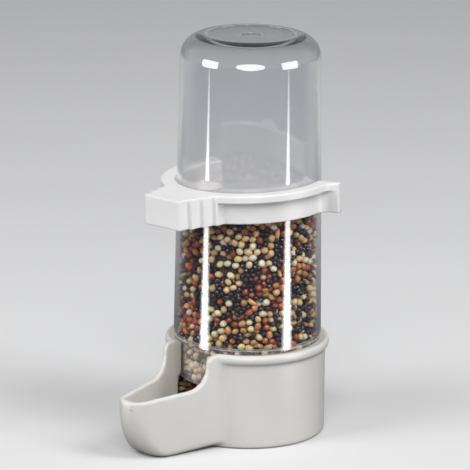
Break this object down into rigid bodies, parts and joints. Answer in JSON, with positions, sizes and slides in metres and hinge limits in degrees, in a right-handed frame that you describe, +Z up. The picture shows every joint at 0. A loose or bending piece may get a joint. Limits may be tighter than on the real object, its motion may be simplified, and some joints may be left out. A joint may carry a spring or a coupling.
{
  "type": "cage bird seed feeder",
  "caption": "Gravity seed feeder for a bird cage: a clear silo stands neck down in a white cup with a scoop trough, held by a C-shaped clip with a stepped nose.",
  "frame": {"origin": "centre of the base's underside, on the silo's axis", "axes": "+Z up along the silo's axis, -Y towards the trough's tip and the clip's nose"},
  "size_m": [0.066, 0.0874, 0.1418],
  "materials": {
    "white_plastic": "satin moulded",
    "clear_plastic": "clear, slightly smoky",
    "mixed_seed": "dry loose seed"
  },
  "bodies": {
    "base": {"base": "white_plastic", "seed_heap": "mixed_seed"},
    "silo": {"silo": "clear_plastic", "seed_column": "mixed_seed"},
    "bracket": {"bracket": "white_plastic"}
  },
  "joints": [
    {"name": "silo_lift", "type": "slide", "parent": "base", "child": "silo", "axis": [0, 0, 1], "range_m": [0, 0.025]},
    {"name": "bracket_slide", "type": "slide", "parent": "silo", "child": "bracket", "axis": [0, 0, 1], "range_m": [-0.01, 0.04]}
  ]
}
